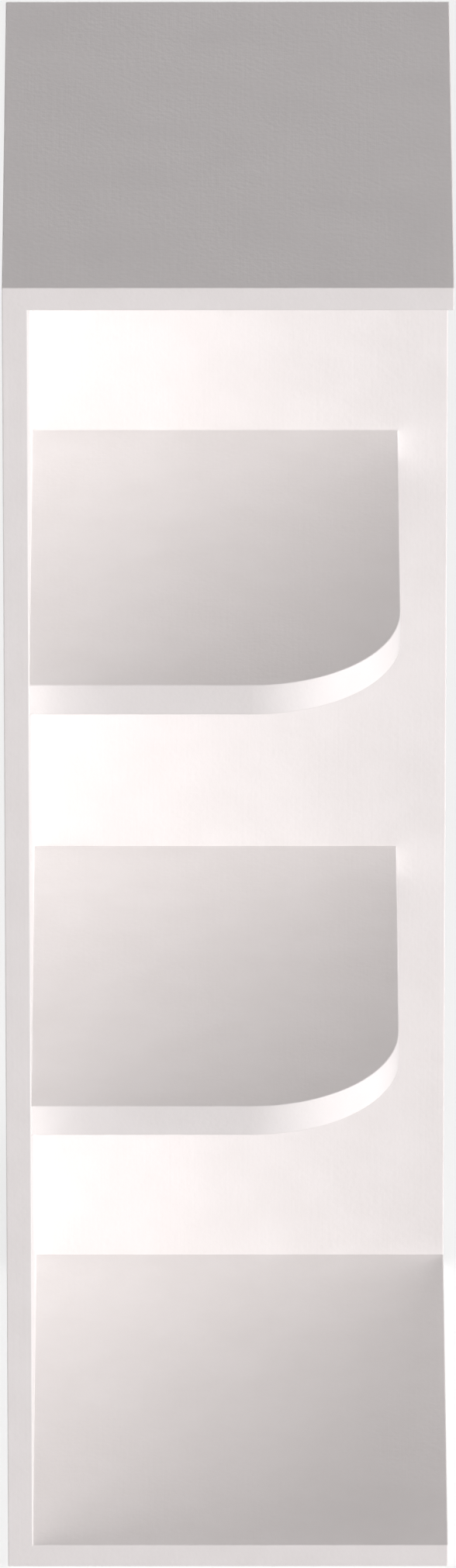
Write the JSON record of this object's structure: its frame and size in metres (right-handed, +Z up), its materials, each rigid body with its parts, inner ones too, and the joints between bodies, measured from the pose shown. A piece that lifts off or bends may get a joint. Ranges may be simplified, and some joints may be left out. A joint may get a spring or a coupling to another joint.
{
  "type": "miniature bookcase",
  "caption": "Tall narrow miniature bookcase, open at the front and right end, with a closed left side and back and round-cornered fixed shelves set back between flat top and bottom boards.",
  "frame": {"origin": "middle of the footprint, on the underside of the bottom board", "axes": "+X to the right, towards the open end; +Y to the back panel; +Z up"},
  "size_m": [0.0528, 0.0706, 0.175],
  "materials": {
    "painted_board": "white satin paint over thin board, with a fine sprayed texture",
    "beech_dowel": "bare planed beech"
  },
  "bodies": {
    "root": {"back_panel": "painted_board", "bottom_back_left_dowel": "beech_dowel", "bottom_back_right_dowel": "beech_dowel", "bottom_board": "painted_board", "bottom_side_front_dowel": "beech_dowel", "bottom_side_rear_dowel": "beech_dowel", "corner_lower_dowel": "beech_dowel", "corner_middle_dowel": "beech_dowel", "corner_upper_dowel": "beech_dowel", "lower_shelf": "painted_board", "side_panel": "painted_board", "top_back_left_dowel": "beech_dowel", "top_back_right_dowel": "beech_dowel", "top_board": "painted_board", "top_side_front_dowel": "beech_dowel", "top_side_rear_dowel": "beech_dowel", "upper_shelf": "painted_board"}
  },
  "joints": []
}
